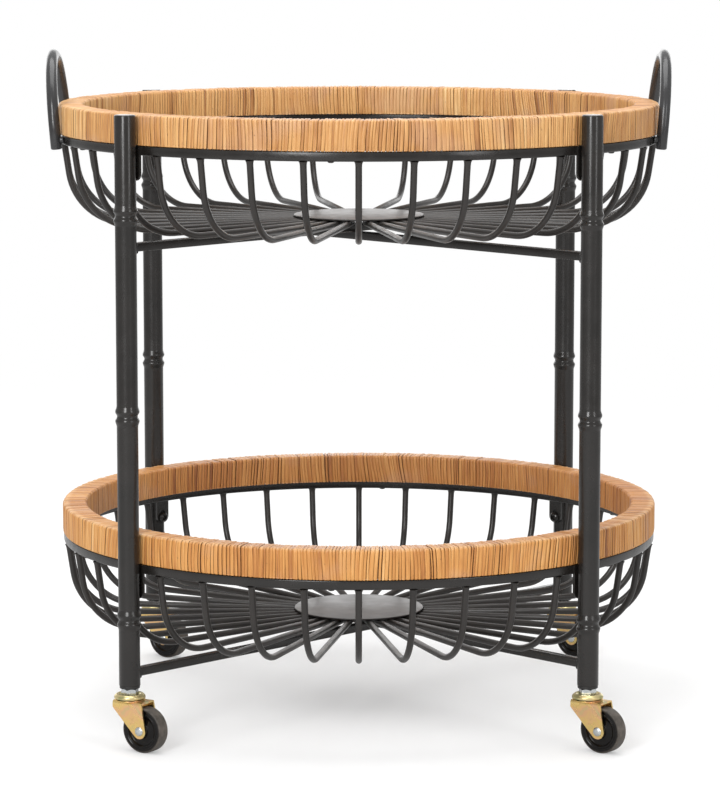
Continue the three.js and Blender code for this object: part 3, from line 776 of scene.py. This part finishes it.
def cross_head(radius, height, shank_radius, shank):
    """A round-head screw along +Z from its flat face at 0, with a cross recess; its shank runs down."""
    sides = 48
    verts, rings = [], []
    arm, arm_half, recess = 0.6 * radius, 0.13 * radius, 0.5 * height
    levels = [0.0, 0.06, 0.12, 0.18, 0.27, 0.36, 0.45, 0.54, 0.6, 0.66, 0.78, 0.88, 0.95, 1.0]
    for share in levels:
        first = len(verts)
        dome = height * math.sqrt(max(0.0, 1 - 0.86 * share**2)) if share < 1 else 0.3 * height
        for i in range(sides):
            angle = TAU * i / sides
            x, y = share * radius * math.cos(angle), share * radius * math.sin(angle)
            inside = (abs(x) < arm_half and abs(y) < arm) or (abs(y) < arm_half and abs(x) < arm)
            verts.append((x, y, dome - (recess if inside else 0)))
        rings.append(list(range(first, first + sides)))
    tip = (0.4 * shank_radius, -shank - 0.4 * MM)
    for r, z in ((radius, 0), (shank_radius, 0), (shank_radius, -shank), tip):
        first = len(verts)
        for i in range(sides):
            angle = TAU * i / sides
            verts.append((r * math.cos(angle), r * math.sin(angle), z))
        rings.append(list(range(first, first + sides)))
    return verts, joined(rings) + [rings[0], rings[-1]]


def leg_screw(tier, corner):
    name = f"leg_screw_{corner}_{tier}"
    low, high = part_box(name)
    head = cross_head(**LEG_SCREW)
    inward = Matrix.Rotation(-math.pi / 2, 4, "Y")
    reach = LEG_RADIUS + 2 * GAP + TAB_THICKNESS
    turn = Matrix.Rotation(0.5 + 1.7 * CORNERS.index(corner), 4, "Z")
    at = corner_frame(corner) @ Matrix.Translation((-reach, 0, (low.z + high.z) / 2)) @ inward @ turn
    piece(f"{corner}_{tier}_tab_screw", [head], "black_paint", "frame", name, at=at)


def rim_screws(tier):
    """Small round heads under the ring, which hold the rim on it."""
    bottom, _ = ring_levels(tier)
    radius = ring_outer(tier) - RING_WIDTH / 2
    first = -95 if tier == "upper" else 25
    shapes = []
    for k in range(RIM_SCREWS):
        turn = Matrix.Rotation(math.radians(first + 360 / RIM_SCREWS * k), 4, "Z")
        down = Matrix.Translation((radius, 0, bottom)) @ Matrix.Rotation(math.pi, 4, "X")
        shapes.append(moved(cross_head(**RIM_SCREW), turn @ down))
    piece(f"{tier}_rim_screws", shapes, "black_paint", "frame")


# ---------------------------------------------------------------- casters


def trail_frame(corner):
    """The swivel axis, with +X pointing to the wheel."""
    leg_at = corner_frame(corner).translation
    low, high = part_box(f"caster_wheel_{corner}")
    wheel = (low + high) / 2
    turn = math.atan2(wheel.y - leg_at.y, wheel.x - leg_at.x)
    trail = math.hypot(wheel.x - leg_at.x, wheel.y - leg_at.y)
    return Matrix.Translation(leg_at) @ Matrix.Rotation(turn, 4, "Z"), trail, wheel.z


def insert(corner):
    low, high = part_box(f"leg_insert_{corner}")
    flange_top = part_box(f"leg_{corner}")[0].z - 0.1 * MM
    corners = [
        (STEM_BORE, low.z, 0),
        (11.1 * MM, low.z, 0.5 * MM),
        (11.15 * MM, flange_top, 0.2 * MM),
        (9.3 * MM, flange_top, 0),
        (9.3 * MM, high.z - 1 * MM, 0.8 * MM),
        (8 * MM, high.z, 0),
        (STEM_BORE, high.z, 0),
    ]
    shape = lathe(rounded(corners), 48, closed=True)
    at = corner_frame(corner)
    piece(f"{corner}_insert", [shape], "black_plastic", "frame", f"leg_insert_{corner}", at=at)


def stem(corner):
    """The caster's stem: a rivet head under the crown and a threaded shank."""
    low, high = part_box(f"caster_stem_{corner}")
    head = 6.5 * MM
    shank = 4 * MM
    head_top = low.z + 1.6 * MM
    profile = [(0, low.z), (0.7 * head, low.z), (0.93 * head, low.z + 0.3 * MM), (head, low.z + 0.9 * MM)]
    profile += [(head, head_top), (shank, head_top)]
    level = head_top + 8 * MM
    pitch = 1.25 * MM
    while level < high.z - 2 * pitch:
        profile += [(shank, level), (shank - 0.55 * MM, level + pitch / 2)]
        level += pitch
    profile += [(shank, level), (shank - 0.8 * MM, high.z), (0, high.z)]
    at = corner_frame(corner)
    piece(f"{corner}_stem", [lathe(profile, 32)], "white_zinc", "frame", f"caster_stem_{corner}", at=at)


def nut(corner):
    """A hexagon nut with its corners turned off at both faces."""
    low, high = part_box(f"caster_nut_{corner}")
    across = 9.7 * MM
    flat = across * math.cos(math.pi / 6)
    sides = 72
    rows = [[], [], [], [], [], []]
    for i in range(sides):
        angle = TAU * i / sides
        off = (angle + math.pi / 6) % (math.pi / 3) - math.pi / 6
        reach = flat / math.cos(off)
        drop = 0.25 * MM + (reach - flat) * 0.8
        levels = ((STEM_BORE, low.z), (0.95 * flat, low.z), (reach, low.z + drop))
        levels += ((reach, high.z - drop), (0.95 * flat, high.z), (STEM_BORE, high.z))
        for row, (radius, height) in zip(rows, levels):
            row.append((radius * math.cos(angle), radius * math.sin(angle), height))
    verts = [vert for row in rows for vert in row]
    rings = [list(range(k * sides, (k + 1) * sides)) for k in range(len(rows))]
    shape = (verts, joined(rings, closed=True))
    fitting = {"at": corner_frame(corner), "crease": 22}
    piece(f"{corner}_nut", [shape], "white_zinc", "frame", f"caster_nut_{corner}", **fitting)


def cup(corner):
    """The domed cup over the race, with a rolled lower edge."""
    low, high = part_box(f"caster_cup_{corner}")
    radius = 17.2 * MM
    wall = 1.4 * MM
    floor = high.z - 1.9 * MM
    corners = [
        (STEM_BORE, floor, 0),
        (10.6 * MM, floor, 0.8 * MM),
        (12.4 * MM, high.z, 1.5 * MM),
        (14.6 * MM, high.z, 1.8 * MM),
        (radius, low.z + 2.6 * MM, 1.6 * MM),
        (radius, low.z, 0.5 * MM),
        (radius - wall, low.z, 0.4 * MM),
        (radius - wall, low.z + 2 * MM, 0.6 * MM),
        (13.8 * MM, high.z - wall, 0.6 * MM),
        (13.2 * MM, high.z - wall, 0.2 * MM),
        (11.4 * MM, floor - wall, 0.6 * MM),
        (STEM_BORE, floor - wall, 0),
    ]
    shape = lathe(rounded(corners), 64, closed=True)
    fitting = {"at": corner_frame(corner), "look": "cup_zinc"}
    piece(f"{corner}_cup", [shape], "yellow_zinc", "frame", f"caster_cup_{corner}", **fitting)


def race(corner, at):
    """A ring of balls between two thin tracks."""
    low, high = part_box(f"caster_race_{corner}")
    middle = (low.z + high.z) / 2
    orbit = 13.6 * MM
    ball = 1.05 * MM
    steps = 8
    turns = [math.pi * k / steps for k in range(steps + 1)]
    profile = [(ball * math.sin(turn), -ball * math.cos(turn)) for turn in turns]
    shapes = []
    balls = 26
    for k in range(balls):
        angle = TAU * k / balls
        centre = Vector((orbit * math.cos(angle), orbit * math.sin(angle), middle))
        shapes.append(moved(lathe(profile, 12), Matrix.Translation(centre)))
    for level, side in ((low.z, 1), (high.z, -1)):
        half = 1.5 * MM
        corners = [(orbit - half, level), (orbit + half, level), (orbit + half, level + side * 0.5 * MM)]
        corners += [(orbit, level + side * 0.2 * MM), (orbit - half, level + side * 0.5 * MM)]
        shapes.append(lathe(corners, 40, closed=True))
    piece(f"{corner}_race", shapes, "white_zinc", f"caster_{corner}", f"caster_race_{corner}", at=at)


def cheek_span(height, trail, axle):
    """How far a cheek reaches back and forward at a height."""
    below = axle - height
    touch = math.radians(40)
    arc_x, arc_z = trail - LUG_RADIUS * math.cos(touch), axle - LUG_RADIUS * math.sin(touch)
    if height > PLATE_BACK_LOW:
        back = CROWN_BACK
    elif height > arc_z:
        share = (height - arc_z) / (PLATE_BACK_LOW - arc_z)
        back = arc_x + share * (CROWN_BACK - arc_x)
    else:
        back = trail - math.sqrt(max(0.0, LUG_RADIUS**2 - below**2))
    if height > axle:
        share = (height - axle) / (CROWN_TOP - axle)
        front = trail + LUG_RADIUS + share * (FORK_FRONT - trail - LUG_RADIUS)
    else:
        front = trail + math.sqrt(max(0.0, LUG_RADIUS**2 - below**2))
    return back, front


def fork_sheet(trail, axle):
    """The bent sheet: up one cheek, over the crown and down the other, as two skins and their rim."""
    fold = 3 * MM
    half = FORK_HALF_WIDTH
    lowest = axle - LUG_RADIUS + 0.02 * MM
    rows = []
    lug_steps, side_steps, fold_steps = 10, 12, 6
    for k in range(lug_steps):
        height = axle - LUG_RADIUS * math.cos(math.pi / 2 * k / lug_steps) * 0.999
        rows.append((max(height, lowest), half, 1, 0))
    for k in range(side_steps + 1):
        height = axle + (CROWN_TOP - fold - axle) * k / side_steps
        rows.append((height, half, 1, 0))
    for k in range(1, fold_steps + 1):
        turn = math.pi / 2 * k / fold_steps
        height = CROWN_TOP - fold + fold * math.sin(turn)
        rows.append((height, half - fold + fold * math.cos(turn), math.cos(turn), math.sin(turn)))
    rows += [(CROWN_TOP, half * share, 0, 1) for share in (0.5, 0.25)]
    rows = rows + [(CROWN_TOP, 0, 0, 1)] + [(h, -w, -n_w, n_h) for h, w, n_w, n_h in reversed(rows)]
    columns = 14
    verts, count = [], 0
    grids = []
    for depth in (0, FORK_PLATE):
        grid = []
        for height, across, out_w, out_h in rows:
            back, front = cheek_span(height, trail, axle)
            if out_h > 0.3:
                share = min(1.0, (out_h - 0.3) / 0.7)
                front += share * (CROWN_FRONT - FORK_FRONT)
            row = []
            for c in range(columns + 1):
                u = back + (front - back) * c / columns
                verts.append((u, across - depth * out_w, height - depth * out_h))
                row.append(count)
                count += 1
            grid.append(row)
        grids.append(grid)
    outer, inner = grids
    faces = []
    for grid, flip in ((outer, False), (inner, True)):
        for low, high in zip(grid, grid[1:]):
            for c in range(columns):
                face = [low[c], low[c + 1], high[c + 1], high[c]]
                faces.append(face[::-1] if flip else face)
    border = [row[0] for row in outer], [row[0] for row in inner]
    for (a, b), (c, d) in zip(zip(*border), list(zip(*border))[1:]):
        faces.append([a, b, d, c])
    border = [row[-1] for row in outer], [row[-1] for row in inner]
    for (a, b), (c, d) in zip(zip(*border), list(zip(*border))[1:]):
        faces.append([a, c, d, b])
    for end in (0, -1):
        for c in range(columns):
            a, b = outer[end][c], outer[end][c + 1]
            d, e = inner[end][c], inner[end][c + 1]
            faces.append([a, b, e, d])
    return verts, faces


def fork(corner, at, trail, axle):
    """The pressed fork with its turned dish, which the cup sits over."""
    _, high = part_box(f"caster_fork_{corner}")
    radius = 16.8 * MM
    low = CROWN_TOP - 1.5 * MM
    corners = [
        (STEM_BORE, low, 0),
        (radius - 2 * MM, low, 0.5 * MM),
        (radius, low + 1.3 * MM, 0.7 * MM),
        (radius, low + 2 * MM, 0.4 * MM),
        (radius - 1.4 * MM, high.z, 0.4 * MM),
        (STEM_BORE, high.z, 0),
    ]
    shapes = [fork_sheet(trail, axle), lathe(rounded(corners), 64, closed=True)]
    fitting = {"at": at, "crease": 40}
    piece(f"{corner}_fork", shapes, "yellow_zinc", f"caster_{corner}", f"caster_fork_{corner}", **fitting)


def axle_rivet(corner, at):
    """A rivet across the fork, with a domed head on each cheek."""
    seat = FORK_HALF_WIDTH
    shaft, head, dome = 2.8 * MM, 5.2 * MM, 2.1 * MM
    half = [(0, seat + dome)]
    for k in range(1, 8):
        turn = math.pi / 2 * k / 7
        half.append((head * math.sin(turn), seat + dome * math.cos(turn)))
    half += [(head, seat - 0.05 * MM), (shaft, seat - 0.05 * MM)]
    profile = half + [(radius, -offset) for radius, offset in reversed(half)]
    lying = Matrix.Rotation(-math.pi / 2, 4, "X")
    shape = moved(lathe(profile, 36), lying)
    piece(f"{corner}_axle", [shape], "white_zinc", f"caster_{corner}", f"caster_axle_{corner}", at=at)


def wheel(corner, at, radius):
    """A moulded wheel: a boss, a dished web, a raised ring inside the tread and a crowned tread."""
    boss = 9.5 * MM
    bore = 3.8 * MM
    half = [
        (bore, boss, 0),
        (7.6 * MM, boss, 0.8 * MM),
        (8.6 * MM, boss - 2.4 * MM, 0.8 * MM),
        (15.6 * MM, boss - 4.3 * MM, 2 * MM),
        (17.6 * MM, boss - 1.6 * MM, 0.7 * MM),
        (18.8 * MM, boss - 1.4 * MM, 0.4 * MM),
        (19.3 * MM, boss - 2.0 * MM, 0.25 * MM),
        (20.0 * MM, boss - 1.5 * MM, 0.3 * MM),
        (radius - 0.9 * MM, boss - 1.6 * MM, 1 * MM),
        (radius, boss - 3 * MM, 2 * MM),
    ]
    other = [(r, -offset, fillet) for r, offset, fillet in reversed(half)]
    profile = rounded(half + other, 4)
    lying = Matrix.Rotation(-math.pi / 2, 4, "X")
    shape = moved(lathe(profile, 72, closed=True), lying)
    fitting = {"at": at, "crease": 40}
    piece(f"{corner}_wheel", [shape], "wheel_black", f"wheel_{corner}", f"caster_wheel_{corner}", **fitting)


def caster(corner):
    insert(corner)
    stem(corner)
    nut(corner)
    cup(corner)
    at, trail, axle = trail_frame(corner)
    race(corner, at)
    fork(corner, at, trail, axle)
    hub_at = at @ Matrix.Translation((trail, 0, axle))
    axle_rivet(corner, hub_at)
    low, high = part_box(f"caster_wheel_{corner}")
    wheel(corner, hub_at, (high.z - low.z) / 2)


# ---------------------------------------------------------------- the cart

for seed, tier in enumerate(TIERS):
    wrap(tier, seed + 1)
    core(tier)
    ring(tier)
    rim_screws(tier)
    basket(tier)
    hub(tier)
    brace(tier, "top")
    brace(tier, "bottom")
handle("right", 0)
handle("left", math.pi)
for corner in CORNERS:
    leg(corner)
    for tier in TIERS:
        leg_screw(tier, corner)
    caster(corner)

# ---------------------------------------------------------------- studio


FLOOR_FADE = (0.9, 3.2)  # metres from the cart's axis


def floor():
    """A wide plain floor, which turns as white as the backdrop far from the cart."""
    mesh = bpy.data.meshes.new("floor")
    reach = 60  # metres, out to the horizon
    corners = [(-reach, -reach, 0), (reach, -reach, 0), (reach, reach, 0), (-reach, reach, 0)]
    mesh.from_pydata(corners, [], [(0, 1, 2, 3)])
    finish = Finish("floor_paint", Roughness=0.8)
    tint = finish.noise(finish.place(), 3, 3)
    paint = finish.ramp(tint, (0.3, (0.62, 0.62, 0.62, 1)), (0.7, (0.65, 0.65, 0.65, 1)))
    finish.set("Specular IOR Level", 0.0)
    away = finish.length(finish.place())
    seen = finish.add("ShaderNodeLightPath", {}).outputs["Is Camera Ray"]
    white = finish.math("MULTIPLY", seen, finish.range(away, *FLOOR_FADE))
    finish.set("Base Color", finish.mix(white, paint, (0, 0, 0, 1)))
    finish.set("Emission Color", (1, 1, 1, 1))
    glow = finish.range(away, *FLOOR_FADE, 0.3, 1)
    finish.set("Emission Strength", finish.math("MULTIPLY", seen, glow))
    mesh.materials.append(finish.material)
    made = bpy.data.objects.new("floor", mesh)
    bpy.context.scene.collection.objects.link(made)


ROOM_LIGHT = 0.62
KEY_POWER = 118
FILL_POWER = 24
TOP_POWER = 62
BACK_POWER = 70


def softbox(name, at, aim, size, power):
    light = bpy.data.lights.new(name, "AREA")
    light.shape = "RECTANGLE"
    light.size, light.size_y = size
    light.energy = power
    made = bpy.data.objects.new(name, light)
    made.location = at
    made.rotation_euler = (Vector(aim) - Vector(at)).to_track_quat("-Z", "Y").to_euler()
    bpy.context.scene.collection.objects.link(made)


def studio():
    """A white backdrop and room, a tall key at the left, a fill at the right, and lights above and behind."""
    world = bpy.data.worlds.new("studio")
    world.use_nodes = True
    tree = world.node_tree
    room = tree.nodes["Background"]
    room.inputs["Color"].default_value = (1, 1, 1, 1)
    room.inputs["Strength"].default_value = ROOM_LIGHT
    backdrop = tree.nodes.new("ShaderNodeBackground")
    backdrop.inputs["Color"].default_value = (1, 1, 1, 1)
    path = tree.nodes.new("ShaderNodeLightPath")
    either = tree.nodes.new("ShaderNodeMixShader")
    tree.links.new(path.outputs["Is Camera Ray"], either.inputs[0])
    tree.links.new(room.outputs[0], either.inputs[1])
    tree.links.new(backdrop.outputs[0], either.inputs[2])
    tree.links.new(either.outputs[0], tree.nodes["World Output"].inputs["Surface"])
    bpy.context.scene.world = world
    floor()
    softbox("key", (-1.5, -4.0, 2.1), (0, 0, 0.4), (1.2, 2.6), KEY_POWER)
    softbox("fill", (2.7, -3.1, 1.6), (0, 0, 0.4), (0.7, 2.2), FILL_POWER)
    softbox("top", (0, 0.2, 3.0), (0, 0, 0.4), (2.6, 2.6), TOP_POWER)
    softbox("backdrop_light", (0, 5.0, 1.4), (0, 0, 0.5), (7.0, 2.4), BACK_POWER)
    bpy.context.scene.view_settings.view_transform = "Standard"


CAMERA_AT = (1.35 * MM, -4.131, 0.9295)
CAMERA_PITCH = math.radians(7.9)  # down
CAMERA_LENS = 164.8


def camera():
    lens = bpy.data.cameras.new("camera")
    lens.lens = CAMERA_LENS
    lens.sensor_width = 36
    made = bpy.data.objects.new("camera", lens)
    made.location = CAMERA_AT
    made.rotation_euler = (math.pi / 2 - CAMERA_PITCH, 0, 0)
    bpy.context.scene.collection.objects.link(made)
    bpy.context.scene.camera = made


studio()
camera()
